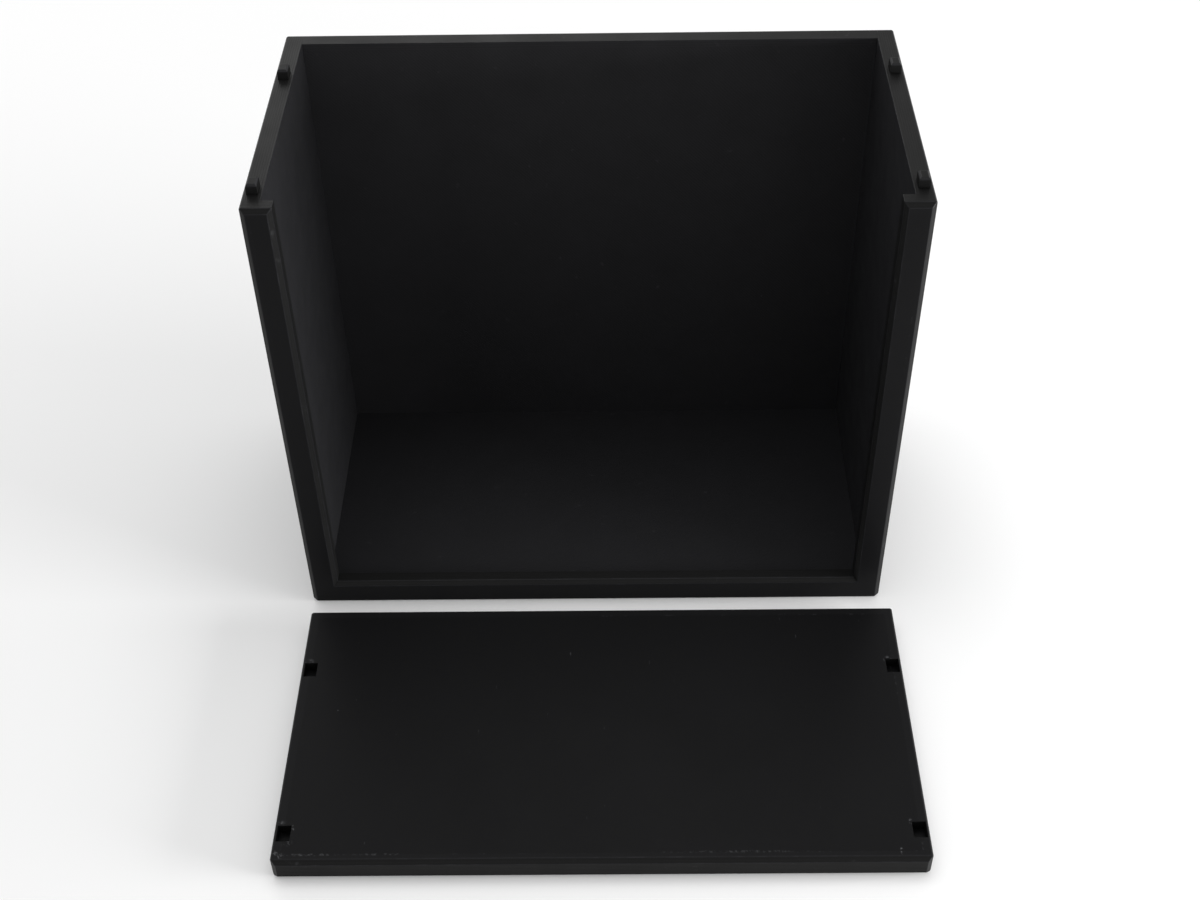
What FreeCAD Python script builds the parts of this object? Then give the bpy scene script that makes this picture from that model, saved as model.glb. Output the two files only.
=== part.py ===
import FreeCAD
import Part
import Sketcher
import os
from typing import Callable

# Box protector case: a panel-built tray with an open window in its bevelled
# front frame, and a loose lid on four pegs. Millimetres. X runs to the right
# as seen from the front, Y to the back and Z up. The origin is the centre of
# the case's footprint on its underside. The lid is stored as it is when taken
# off: turned over, in front of the case.

SIZES = (
    ("case_width", 204.0, "case, outside, left to right"),
    ("case_depth", 102.5, "case, outside, front to back"),
    ("case_height", 170.0, "underside to rim"),
    ("wall_thickness", 6.0, "side panels"),
    ("back_thickness", 6.0, "back panel"),
    ("base_thickness", 5.0, "base panel"),
    ("corner_chamfer", 1.6, "upright front corners of the frame and the lid"),
    ("rim_chamfer", 0.5, "other outer edges of the case and the lid"),
    ("frame_thickness", 5.4, "front frame, front to back"),
    ("stile_width", 9.8, "front frame, each upright"),
    ("rail_height", 9.4, "front frame, bottom rail"),
    ("frame_bevel", 1.4, "front edges of the frame and the lid, and round the window"),
    ("tongue_thickness", 2.4, "tongues that join the panels"),
    ("tongue_depth", 2.0, "how far a tongue enters its groove"),
    ("tongue_stop", 8.0, "how far tongues stop short of a rim or an end"),
    ("tongue_clearance", 0.15, "round a tongue in its groove"),
    ("peg_width", 3.4, "lid peg, left to right"),
    ("peg_depth", 4.8, "lid peg, front to back"),
    ("peg_height", 3.3, "lid peg above the rim"),
    ("peg_shank", 5.0, "lid peg below the rim, in its socket"),
    ("peg_chamfer", 0.6, "top edges of a lid peg"),
    ("peg_front_inset", 10.8, "front face of the case to the front pegs' middle"),
    ("peg_rear_inset", 26.2, "back face of the case to the rear pegs' middle"),
    ("socket_clearance", 0.1, "round a peg in its socket"),
    ("lid_thickness", 8.7, "lid plate"),
    ("pocket_clearance", 0.5, "round a peg in its lid pocket"),
    ("pocket_headroom", 0.6, "lid pocket beyond the end of its peg"),
    ("lid_gap", 12.6, "front face of the case to the lid that lies before it"),
    ("lid_shift", 2.1, "lid's middle to the right of the case's middle"),
)

# Places that several pieces share, worked out from the sizes above.
HALF_WIDTH = "(sizes.case_width / 2)"
HALF_DEPTH = "(sizes.case_depth / 2)"
INSIDE_X = "(sizes.case_width / 2 - sizes.wall_thickness)"
WALL_MIDDLE_X = "(sizes.case_width / 2 - sizes.wall_thickness / 2)"
BACK_MIDDLE_Y = "(sizes.case_depth / 2 - sizes.back_thickness / 2)"
FRAME_BACK_Y = "(sizes.frame_thickness - sizes.case_depth / 2)"
PEG_FRONT_Y = "(sizes.peg_front_inset - sizes.case_depth / 2)"
PEG_REAR_Y = "(sizes.case_depth / 2 - sizes.peg_rear_inset)"
TONGUE_HALF = "(sizes.tongue_thickness / 2)"
GROOVE_HALF = "(sizes.tongue_thickness / 2 + sizes.tongue_clearance)"
GROOVE_DEPTH = "(sizes.tongue_depth + sizes.tongue_clearance)"
TONGUE_TOP_Z = "(sizes.case_height - sizes.tongue_stop)"
TONGUE_LOW_Z = "(sizes.base_thickness + sizes.tongue_stop)"
TONGUE_FRONT_Y = f"({FRAME_BACK_Y} + sizes.tongue_stop)"
TONGUE_REAR_Y = f"({HALF_DEPTH} - sizes.back_thickness - sizes.tongue_stop)"
BACK_TONGUE_X = f"({INSIDE_X} - sizes.tongue_stop)"

# Two places closer than this count as one when edges are picked.
SAME_PLACE = 1e-6

X_AXIS = "x"
Y_AXIS = "y"
Z_AXIS = "z"

Outline = list[tuple[str, str]]
EdgeTest = Callable[[Part.Edge], bool]


def make_sheet(doc: FreeCAD.Document) -> FreeCAD.DocumentObject:
    """Put the driving dimensions into a spreadsheet, one named cell each."""
    sheet = doc.addObject("Spreadsheet::Sheet", "sizes")
    for row, (alias, value, note) in enumerate(SIZES, start=1):
        sheet.set(f"A{row}", note)
        sheet.set(f"B{row}", str(value))
        sheet.setAlias(f"B{row}", alias)
    doc.recompute()
    return sheet


def minus(place: str) -> str:
    """The expression of the mirrored place."""
    return f"(-1 * {place})"


def span(middle: str, half: str) -> tuple[str, str]:
    """The two ends of a stretch with a given middle and half length."""
    return f"({middle} - {half})", f"({middle} + {half})"


def rectangle(left: str, right: str, low: str, high: str) -> Outline:
    """The four corners of a rectangle, anticlockwise."""
    return [(left, low), (right, low), (right, high), (left, high)]


class Piece:
    """One solid piece of the case, built feature by feature in its own body."""

    def __init__(self, doc: FreeCAD.Document, node: str) -> None:
        self.doc = doc
        self.body = doc.addObject("PartDesign::Body", node)
        self.body.Label = node

    def value(self, expression: str) -> float:
        """The present number behind an expression of sizes."""
        return float(self.body.evalExpression(expression))

    def sketch(self, name: str, role: str, outlines: list[Outline], lift: str = "0") -> FreeCAD.DocumentObject:
        """A sketch of closed outlines in an origin plane, lifted along its normal.

        Every corner is held by two places that are bound to the sizes.
        """
        plane = next(item for item in self.body.Origin.OriginFeatures if item.Role == role)
        sketch = self.body.newObject("Sketcher::SketchObject", f"{self.body.Name}_{name}_sketch")
        sketch.AttachmentSupport = [(plane, "")]
        sketch.MapMode = "FlatFace"
        sketch.setExpression("AttachmentOffset.Base.z", lift)
        for outline in outlines:
            self._add_outline(sketch, outline)
        return sketch

    def _add_outline(self, sketch: FreeCAD.DocumentObject, outline: Outline) -> None:
        first = sketch.GeometryCount
        count = len(outline)
        points = [FreeCAD.Vector(self.value(across), self.value(up), 0) for across, up in outline]
        for index, start in enumerate(points):
            sketch.addGeometry(Part.LineSegment(start, points[(index + 1) % count]))
        for index in range(count):
            following = first + (index + 1) % count
            sketch.addConstraint(Sketcher.Constraint("Coincident", first + index, 2, following, 1))
        for index, (across, up) in enumerate(outline):
            self._hold(sketch, "DistanceX", first + index, across, points[index].x)
            self._hold(sketch, "DistanceY", first + index, up, points[index].y)

    @staticmethod
    def _hold(sketch: FreeCAD.DocumentObject, kind: str, line: int, place: str, now: float) -> None:
        if place == "0":
            axis = -1 if kind == "DistanceY" else -2
            sketch.addConstraint(Sketcher.Constraint("PointOnObject", line, 1, axis))
            return
        number = sketch.addConstraint(Sketcher.Constraint(kind, -1, 1, line, 1, now))
        sketch.setExpression(f"Constraints[{number}]", place)

    def pad(self, name: str, sketch: FreeCAD.DocumentObject, length: str, reverse: bool = False) -> None:
        """Add material along the sketch's normal, or against it."""
        self._extrude("Pad", name, sketch, length, reverse)

    def pocket(self, name: str, sketch: FreeCAD.DocumentObject, depth: str, reverse: bool = False) -> None:
        """Cut against the sketch's normal, or along it, and make sure that it cuts."""
        before = self.body.Shape.Volume
        self._extrude("Pocket", name, sketch, depth, reverse)
        if self.body.Shape.Volume >= before:
            raise RuntimeError(f"{self.body.Label}: {name} cuts nothing")

    def _extrude(self, kind: str, name: str, sketch: FreeCAD.DocumentObject, length: str, reverse: bool) -> None:
        feature = self.body.newObject(f"PartDesign::{kind}", f"{self.body.Name}_{name}")
        feature.Profile = sketch
        feature.Reversed = reverse
        feature.setExpression("Length", length)
        self.doc.recompute()

    def chamfer(self, name: str, size: str, picked: EdgeTest) -> None:
        """Break the picked edges at 45 degrees."""
        feature = self._dress("Chamfer", name, picked)
        feature.setExpression("Size", size)
        self.doc.recompute()

    def _dress(self, kind: str, name: str, picked: EdgeTest) -> FreeCAD.DocumentObject:
        base = self.body.Tip
        edges = [f"Edge{number}" for number, edge in enumerate(base.Shape.Edges, start=1) if picked(edge)]
        if not edges:
            raise RuntimeError(f"{self.body.Label}: {name} finds no edge")
        feature = self.body.newObject(f"PartDesign::{kind}", f"{self.body.Name}_{name}")
        feature.Base = (base, edges)
        return feature

    def lies_past(self, axis: str, place: str) -> EdgeTest:
        """A test for edges that lie whole at or past a place along an axis."""
        target = self.value(place)
        return lambda edge: all(getattr(vertex.Point, axis) > target - SAME_PLACE for vertex in edge.Vertexes)

    def lies_at(self, axis: str, place: str) -> EdgeTest:
        """A test for edges that lie whole at one place along an axis."""
        target = self.value(place)
        return lambda edge: all(abs(getattr(vertex.Point, axis) - target) < SAME_PLACE for vertex in edge.Vertexes)


def either(*tests: EdgeTest) -> EdgeTest:
    """A test for edges that pass at least one of the tests."""
    return lambda edge: any(test(edge) for test in tests)


def both(*tests: EdgeTest) -> EdgeTest:
    """A test for edges that pass all of the tests."""
    return lambda edge: all(test(edge) for test in tests)


def make_base_panel(doc: FreeCAD.Document) -> Piece:
    """Floor of the case, grooved for the panels that stand on it."""
    piece = Piece(doc, "base_panel")
    left, right = minus(HALF_WIDTH), HALF_WIDTH
    plate = piece.sketch("plate", "XY_Plane", [rectangle(left, right, FRAME_BACK_Y, HALF_DEPTH)])
    piece.pad("plate", plate, "sizes.base_thickness")

    low = f"({TONGUE_FRONT_Y} - sizes.tongue_clearance)"
    high = f"({TONGUE_REAR_Y} + sizes.tongue_clearance)"
    grooves = [rectangle(*span(middle, GROOVE_HALF), low, high) for middle in (minus(WALL_MIDDLE_X), WALL_MIDDLE_X)]
    back_half = f"({BACK_TONGUE_X} + sizes.tongue_clearance)"
    grooves.append(rectangle(minus(back_half), back_half, *span(BACK_MIDDLE_Y, GROOVE_HALF)))
    sketch = piece.sketch("grooves", "XY_Plane", grooves, "sizes.base_thickness")
    piece.pocket("grooves", sketch, GROOVE_DEPTH)

    at_back = piece.lies_at(Y_AXIS, HALF_DEPTH)
    at_side = either(piece.lies_at(X_AXIS, left), piece.lies_at(X_AXIS, right))
    piece.chamfer("corners", "sizes.rim_chamfer", both(at_back, at_side))
    underneath = piece.lies_at(Z_AXIS, "0")
    at_front = piece.lies_at(Y_AXIS, FRAME_BACK_Y)
    piece.chamfer("foot", "sizes.rim_chamfer", lambda edge: underneath(edge) and not at_front(edge))
    return piece


def make_back_panel(doc: FreeCAD.Document) -> Piece:
    """Back wall between the side panels, with tongues on three edges."""
    piece = Piece(doc, "back_panel")
    wall_top = "sizes.case_height"
    foot = "sizes.base_thickness"
    plate = rectangle(minus(INSIDE_X), INSIDE_X, foot, wall_top)
    sketch = piece.sketch("plate", "XZ_Plane", [plate], minus(HALF_DEPTH))
    piece.pad("plate", sketch, "sizes.back_thickness")

    tongue_back = f"({BACK_MIDDLE_Y} + {TONGUE_HALF})"
    reach = f"({INSIDE_X} + sizes.tongue_depth)"
    sides = rectangle(minus(reach), reach, foot, TONGUE_TOP_Z)
    sketch = piece.sketch("side_tongues", "XZ_Plane", [sides], minus(tongue_back))
    piece.pad("side_tongues", sketch, "sizes.tongue_thickness")

    low = f"({foot} - sizes.tongue_depth)"
    under = rectangle(minus(BACK_TONGUE_X), BACK_TONGUE_X, low, foot)
    sketch = piece.sketch("foot_tongue", "XZ_Plane", [under], minus(tongue_back))
    piece.pad("foot_tongue", sketch, "sizes.tongue_thickness")

    on_rim = piece.lies_at(Z_AXIS, wall_top)
    at_back = piece.lies_at(Y_AXIS, HALF_DEPTH)
    piece.chamfer("rim", "sizes.rim_chamfer", both(on_rim, at_back))
    return piece


def make_side_panel(doc: FreeCAD.Document, node: str, side: int) -> Piece:
    """Side wall with tongues, a groove for the back panel and peg sockets.

    Args:
        doc: the document that takes the piece.
        node: the piece's name.
        side: 1 for the wall on the right, -1 for the wall on the left.
    """
    piece = Piece(doc, node)
    outward = side > 0
    inner_face = f"({side} * {INSIDE_X})"
    outer_face = f"({side} * {HALF_WIDTH})"
    tongue_face = f"({side} * ({WALL_MIDDLE_X} - {TONGUE_HALF}))"
    foot = "sizes.base_thickness"
    wall_top = "sizes.case_height"

    plate = rectangle(FRAME_BACK_Y, HALF_DEPTH, foot, wall_top)
    sketch = piece.sketch("plate", "YZ_Plane", [plate], inner_face)
    piece.pad("plate", sketch, "sizes.wall_thickness", not outward)

    low = f"({foot} - sizes.tongue_depth)"
    front = f"({FRAME_BACK_Y} - sizes.tongue_depth)"
    foot_tongue = rectangle(TONGUE_FRONT_Y, TONGUE_REAR_Y, low, foot)
    front_tongue = rectangle(front, FRAME_BACK_Y, TONGUE_LOW_Z, TONGUE_TOP_Z)
    sketch = piece.sketch("tongues", "YZ_Plane", [foot_tongue, front_tongue], tongue_face)
    piece.pad("tongues", sketch, "sizes.tongue_thickness", not outward)

    groove_top = f"({TONGUE_TOP_Z} + sizes.tongue_clearance)"
    groove = rectangle(*span(BACK_MIDDLE_Y, GROOVE_HALF), foot, groove_top)
    sketch = piece.sketch("back_groove", "YZ_Plane", [groove], inner_face)
    piece.pocket("back_groove", sketch, GROOVE_DEPTH, outward)

    at_outer_face = piece.lies_at(X_AXIS, outer_face)
    at_back = piece.lies_at(Y_AXIS, HALF_DEPTH)
    piece.chamfer("corner", "sizes.rim_chamfer", both(at_outer_face, at_back))
    on_rim = piece.lies_at(Z_AXIS, wall_top)
    at_inner_face = piece.lies_at(X_AXIS, inner_face)
    at_front = piece.lies_at(Y_AXIS, FRAME_BACK_Y)
    inside_edge = either(at_inner_face, at_front)
    piece.chamfer("rim", "sizes.rim_chamfer", lambda edge: on_rim(edge) and not inside_edge(edge))

    across = span(f"({side} * {WALL_MIDDLE_X})", "(sizes.peg_width / 2 + sizes.socket_clearance)")
    socket_half = "(sizes.peg_depth / 2 + sizes.socket_clearance)"
    sockets = [rectangle(*across, *span(middle, socket_half)) for middle in (PEG_FRONT_Y, PEG_REAR_Y)]
    sketch = piece.sketch("peg_sockets", "XY_Plane", sockets, wall_top)
    piece.pocket("peg_sockets", sketch, "sizes.peg_shank")
    return piece


def make_front_frame(doc: FreeCAD.Document) -> Piece:
    """Two stiles and a bottom rail in one, bevelled on the front and chamfered at the corners."""
    piece = Piece(doc, "front_frame")
    outer_x = HALF_WIDTH
    inner_x = f"({HALF_WIDTH} - sizes.stile_width)"
    top = "sizes.case_height"
    rail = "sizes.rail_height"
    outline = [
        (minus(outer_x), "0"),
        (outer_x, "0"),
        (outer_x, top),
        (inner_x, top),
        (inner_x, rail),
        (minus(inner_x), rail),
        (minus(inner_x), top),
        (minus(outer_x), top),
    ]
    sketch = piece.sketch("plate", "XZ_Plane", [outline], minus(FRAME_BACK_Y))
    piece.pad("plate", sketch, "sizes.frame_thickness")

    low = f"({TONGUE_LOW_Z} - sizes.tongue_clearance)"
    high = f"({TONGUE_TOP_Z} + sizes.tongue_clearance)"
    slots = [rectangle(*span(middle, GROOVE_HALF), low, high) for middle in (minus(WALL_MIDDLE_X), WALL_MIDDLE_X)]
    sketch = piece.sketch("tongue_slots", "XZ_Plane", slots, minus(FRAME_BACK_Y))
    piece.pocket("tongue_slots", sketch, GROOVE_DEPTH, True)

    in_front = piece.lies_at(Y_AXIS, minus(HALF_DEPTH))
    at_side = either(piece.lies_at(X_AXIS, outer_x), piece.lies_at(X_AXIS, minus(outer_x)))
    piece.chamfer("corners", "sizes.corner_chamfer", both(in_front, at_side))
    underneath = piece.lies_at(Z_AXIS, "0")
    shoulder = f"({HALF_WIDTH} - sizes.corner_chamfer)"
    at_corner = either(piece.lies_at(X_AXIS, shoulder), piece.lies_at(X_AXIS, minus(shoulder)))
    outer_edge = either(underneath, at_corner)
    piece.chamfer("bevel", "sizes.frame_bevel", lambda edge: in_front(edge) and not outer_edge(edge))
    behind = piece.lies_at(Y_AXIS, FRAME_BACK_Y)
    piece.chamfer("foot", "sizes.rim_chamfer", lambda edge: underneath(edge) and not behind(edge))
    piece.chamfer("rim", "sizes.rim_chamfer", both(piece.lies_at(Z_AXIS, top), at_side))
    return piece


def make_peg(doc: FreeCAD.Document, node: str, side: int, middle_y: str) -> Piece:
    """Square peg, glued into its socket in a side panel's rim, that locates the lid."""
    piece = Piece(doc, node)
    half_x = "(sizes.peg_width / 2)"
    half_y = "(sizes.peg_depth / 2)"
    block = rectangle(minus(half_x), half_x, minus(half_y), half_y)
    sketch = piece.sketch("block", "XY_Plane", [block], minus("sizes.peg_shank"))
    piece.pad("block", sketch, "sizes.peg_shank + sizes.peg_height")
    piece.chamfer("tip", "sizes.peg_chamfer", piece.lies_at(Z_AXIS, "sizes.peg_height"))
    piece.body.setExpression("Placement.Base.x", f"{side} * {WALL_MIDDLE_X}")
    piece.body.setExpression("Placement.Base.y", middle_y)
    piece.body.setExpression("Placement.Base.z", "sizes.case_height")
    return piece


def make_lid(doc: FreeCAD.Document) -> Piece:
    """Flat lid with a blind pocket for each peg.

    It is drawn as it sits on the case, from its seating face up. Then it is
    turned over sideways and laid down in front, where its pockets face up.
    """
    piece = Piece(doc, "lid")
    left, right = minus(HALF_WIDTH), HALF_WIDTH
    front, back = minus(HALF_DEPTH), HALF_DEPTH
    sketch = piece.sketch("plate", "XY_Plane", [rectangle(left, right, front, back)])
    piece.pad("plate", sketch, "sizes.lid_thickness")

    at_side = either(piece.lies_at(X_AXIS, left), piece.lies_at(X_AXIS, right))
    in_front = piece.lies_at(Y_AXIS, front)
    piece.chamfer("front_corners", "sizes.corner_chamfer", both(at_side, in_front))
    on_face = either(piece.lies_at(Z_AXIS, "0"), piece.lies_at(Z_AXIS, "sizes.lid_thickness"))
    piece.chamfer("front_bevel", "sizes.frame_bevel", both(on_face, in_front))
    at_back = piece.lies_at(Y_AXIS, back)
    piece.chamfer("back_corners", "sizes.rim_chamfer", both(at_side, at_back))
    round_back = piece.lies_past(Y_AXIS, f"({back} - sizes.rim_chamfer)")
    piece.chamfer("edges", "sizes.rim_chamfer", both(on_face, either(at_side, round_back)))

    half_x = "(sizes.peg_width / 2 + sizes.pocket_clearance)"
    half_y = "(sizes.peg_depth / 2 + sizes.pocket_clearance)"
    pockets = []
    for middle_x in (minus(WALL_MIDDLE_X), WALL_MIDDLE_X):
        for middle_y in (PEG_FRONT_Y, PEG_REAR_Y):
            pockets.append(rectangle(*span(middle_x, half_x), *span(middle_y, half_y)))
    sketch = piece.sketch("peg_pockets", "XY_Plane", pockets)
    piece.pocket("peg_pockets", sketch, "sizes.peg_height + sizes.pocket_headroom", True)

    piece.body.Placement = FreeCAD.Placement(FreeCAD.Vector(), FreeCAD.Rotation(FreeCAD.Vector(0, 1, 0), 180))
    piece.body.setExpression("Placement.Base.x", "sizes.lid_shift")
    piece.body.setExpression("Placement.Base.y", "-1 * (sizes.case_depth + sizes.lid_gap)")
    piece.body.setExpression("Placement.Base.z", "sizes.lid_thickness")
    return piece


def check(doc: FreeCAD.Document, pieces: list[Piece]) -> None:
    """Stop if any object of the document failed or any piece isn't one sound solid."""
    for item in doc.Objects:
        if "Invalid" in item.State or "Error" in item.State:
            raise RuntimeError(f"{item.Label} failed: {item.State}")
    for piece in pieces:
        shape = piece.body.Shape
        if shape.isNull() or not shape.isValid() or len(shape.Solids) != 1:
            raise RuntimeError(f"{piece.body.Label} isn't one valid solid")


def main() -> None:
    """Build every piece and write one file for each."""
    doc = FreeCAD.newDocument("box_protector_case")
    make_sheet(doc)
    pieces = [
        make_base_panel(doc),
        make_back_panel(doc),
        make_side_panel(doc, "left_side_panel", -1),
        make_side_panel(doc, "right_side_panel", 1),
        make_front_frame(doc),
        make_peg(doc, "front_left_peg", -1, PEG_FRONT_Y),
        make_peg(doc, "front_right_peg", 1, PEG_FRONT_Y),
        make_peg(doc, "rear_left_peg", -1, PEG_REAR_Y),
        make_peg(doc, "rear_right_peg", 1, PEG_REAR_Y),
        make_lid(doc),
    ]
    doc.recompute()
    check(doc, pieces)
    os.makedirs("parts", exist_ok=True)
    for piece in pieces:
        shape = piece.body.Shape
        shape.exportStep(f"parts/{piece.body.Label}.step")
        print(piece.body.Label, shape.BoundBox, round(shape.Volume, 1))


main()
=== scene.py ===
"""Looks of a printed box protector case: shell, lid pegs and the lid that lies in front of it."""

import logging
from collections.abc import Callable, Iterable, Mapping
from dataclasses import dataclass
from enum import Enum
from math import radians

import bmesh
import bpy
from mathutils import Matrix, Vector


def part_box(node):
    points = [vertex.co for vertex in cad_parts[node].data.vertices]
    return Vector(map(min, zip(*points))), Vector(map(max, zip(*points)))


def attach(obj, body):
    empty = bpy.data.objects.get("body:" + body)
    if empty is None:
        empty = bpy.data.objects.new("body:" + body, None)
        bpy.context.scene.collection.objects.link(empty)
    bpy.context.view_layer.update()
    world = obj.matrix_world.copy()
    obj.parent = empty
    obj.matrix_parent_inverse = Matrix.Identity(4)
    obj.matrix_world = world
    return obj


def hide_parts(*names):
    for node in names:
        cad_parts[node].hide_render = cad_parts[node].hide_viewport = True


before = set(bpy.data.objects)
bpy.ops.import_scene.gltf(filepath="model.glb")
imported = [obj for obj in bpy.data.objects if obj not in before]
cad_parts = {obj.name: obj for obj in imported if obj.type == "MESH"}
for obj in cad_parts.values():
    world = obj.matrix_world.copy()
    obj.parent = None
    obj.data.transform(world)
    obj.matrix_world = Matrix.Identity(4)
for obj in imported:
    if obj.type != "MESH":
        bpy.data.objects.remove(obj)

log = logging.getLogger("box_protector_case")

# A millimetre in the frame's metres.
MM = 0.001
# Slack in tests of where an edge lies.
TINY = 1e-5
# Points this close together are one.
MERGE = 1e-6
# Points this close to a plane lie on it.
ON_PLANE = 1e-7
# The bands of a wave texture of scale 1 repeat after this length.
WAVE_PERIOD = 0.314159
# Triangles that turn by less than this make one flat face.
FLAT = radians(0.5)
# Free edges that turn by more than this are rounded.
TURNED = radians(20)
# Edges that still turn by more than this are seams or mouths of holes, and shade sharp.
SHARP = radians(50)
# A rounding takes its shading from faces that turn from it by less than this.
BLEND = radians(40)
# A normal with more than the first share along an axis faces that way, with less than the second it doesn't.
FACE_ON = 0.9
EDGE_ON = 0.1

Tree = bpy.types.NodeTree
Socket = bpy.types.NodeSocket
Material = bpy.types.Material
Piece = bpy.types.Object
Edge = bmesh.types.BMEdge
Spot = tuple[float, float]
Point = tuple[float, float, float]
Box = tuple[Point, Point]
EdgeTest = Callable[[Edge], bool]
FaceRule = Callable[[Vector], int]


class Body(Enum):
    """The bodies of the frame that a piece can ride on."""

    CASE = "case"
    LID = "lid"


class Slot(Enum):
    """The record's finishes."""

    PRINTED = "printed_black"


class Axis(Enum):
    """An axis of the frame, as its place in a vector."""

    X = 0
    Y = 1
    Z = 2


class Skin(Enum):
    """How a face of a printed plate was made, as the place of its material."""

    BED = 0
    RASTER = 1
    LAYERS = 2
    EDGE = 3


def linear(code: str) -> tuple[float, float, float, float]:
    """Turn an sRGB hex colour into linear values.

    Args:
        code: six hex digits, with or without a leading mark.

    Returns:
        Red, green, blue and a full alpha.
    """
    parts = [int(code.lstrip("#")[i : i + 2], 16) / 255 for i in (0, 2, 4)]
    # The numbers are those of the sRGB standard's curve.
    red, green, blue = (c / 12.92 if c <= 0.04045 else ((c + 0.055) / 1.055) ** 2.4 for c in parts)
    return red, green, blue, 1.0


def socket_of(sockets: Iterable[Socket], key: str) -> Socket:
    """Find a socket by its identifier, or by its name where no identifier fits.

    Args:
        sockets: a node's inputs or outputs.
        key: the identifier or name.

    Returns:
        The socket.
    """
    return next(s for test in ("identifier", "name") for s in sockets if getattr(s, test) == key)


def add_node(
    tree: Tree, kind: str, inputs: Mapping[str, object] | None = None, **settings: object
) -> bpy.types.Node:
    """Add a node, set its properties, and fill or link its inputs.

    Args:
        tree: the tree that takes the node.
        kind: the node's type.
        inputs: for each socket, by identifier or name, a value or the socket that feeds it.
        settings: properties of the node itself.

    Returns:
        The new node.
    """
    node = tree.nodes.new(kind)
    for name, value in settings.items():
        setattr(node, name, value)
    for name, value in (inputs or {}).items():
        socket = socket_of(node.inputs, name)
        if isinstance(value, Socket):
            tree.links.new(value, socket)
        else:
            socket.default_value = value
    return node


def looked_at(tree: Tree) -> Socket:
    """Tell the rays that look at a surface from those that only carry light.

    Args:
        tree: the tree of a material or a world.

    Returns:
        The socket that gives 1 for a camera, glossy or transmission ray and 0 for any other.
    """
    path = add_node(tree, "ShaderNodeLightPath").outputs
    seen = path["Is Camera Ray"]
    for ray in ("Is Glossy Ray", "Is Transmission Ray"):
        either = {"Value": seen, "Value_001": path[ray]}
        seen = add_node(tree, "ShaderNodeMath", either, operation="MAXIMUM").outputs[0]
    return seen


@dataclass(frozen=True)
class Grain:
    """A noise pattern: the size of its patches in metres, its finer levels and their strength."""

    size: float
    detail: float = 2.0
    rough: float = 0.5

    def inputs(self, place: Socket) -> dict[str, object]:
        """The inputs of a noise texture that draws the pattern at a place."""
        return {"Vector": place, "Scale": 1 / self.size, "Detail": self.detail, "Roughness": self.rough}


@dataclass(frozen=True)
class Ramp:
    """A way from the least at a start to the most at an end, level beyond both."""

    start: float
    end: float
    most: float = 1.0
    least: float = 0.0

    def inputs(self, value: Socket) -> dict[str, object]:
        """The inputs of a map range that puts a value on the ramp."""
        ends = {"From Min": self.start, "From Max": self.end, "To Min": self.least, "To Max": self.most}
        return {"Value": value, **ends}


@dataclass(frozen=True)
class Finish:
    """A surface finish that makes one material."""

    name: str

    def material(self) -> Material:
        """Make the finish's material, or give the one made before.

        Returns:
            The material.
        """
        found = bpy.data.materials.get(self.name)
        if found:
            return found
        made = bpy.data.materials.new(self.name)
        made.use_nodes = True
        made.node_tree.nodes.clear()
        self.wire(made.node_tree)
        return made

    def wire(self, tree: Tree) -> None:
        """Build the material's nodes."""
        raise NotImplementedError


@dataclass(frozen=True)
class PlateOutline:
    """Outline and holes of a flat plate, which its outer tracks of plastic follow."""

    thickness: Axis
    plate: Box
    holes: tuple[Box, ...] = ()

    def depth(self, tree: Tree, place: Socket, with_holes: bool = True) -> Socket:
        """Measure how far a point lies from the nearest edge of the plate.

        Args:
            tree: the material's tree.
            place: the point.
            with_holes: whether the edges of holes count.

        Returns:
            The socket that gives the distance in metres.
        """
        nearest: Socket | None = None
        holes = self.holes if with_holes else ()
        for (low, high), sign in [(self.plate, -1.0), *((hole, 1.0) for hole in holes)]:
            centre, half = (Vector(high) + Vector(low)) / 2, (Vector(high) - Vector(low)) / 2
            from_centre = {"Vector": place, "Vector_001": centre}
            off = add_node(tree, "ShaderNodeVectorMath", from_centre, operation="SUBTRACT")
            away = add_node(tree, "ShaderNodeVectorMath", {"Vector": off.outputs[0]}, operation="ABSOLUTE")
            from_side = {"Vector": away.outputs[0], "Vector_001": half}
            past = add_node(tree, "ShaderNodeVectorMath", from_side, operation="SUBTRACT")
            parts = add_node(tree, "ShaderNodeSeparateXYZ", {"Vector": past.outputs[0]}).outputs
            one, other = (parts[axis.value] for axis in Axis if axis is not self.thickness)
            reach = add_node(tree, "ShaderNodeMath", {"Value": one, "Value_001": other}, operation="MAXIMUM")
            signed = {"Value": reach.outputs[0], "Value_001": sign}
            inside = add_node(tree, "ShaderNodeMath", signed, operation="MULTIPLY").outputs[0]
            if nearest is not None:
                both = {"Value": nearest, "Value_001": inside}
                inside = add_node(tree, "ShaderNodeMath", both, operation="MINIMUM").outputs[0]
            nearest = inside
        return nearest


@dataclass(frozen=True)
class Scuff:
    """One rubbed place on a flat face, in the frame's x and y."""

    at: Spot
    reach: Spot
    strength: float


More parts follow.
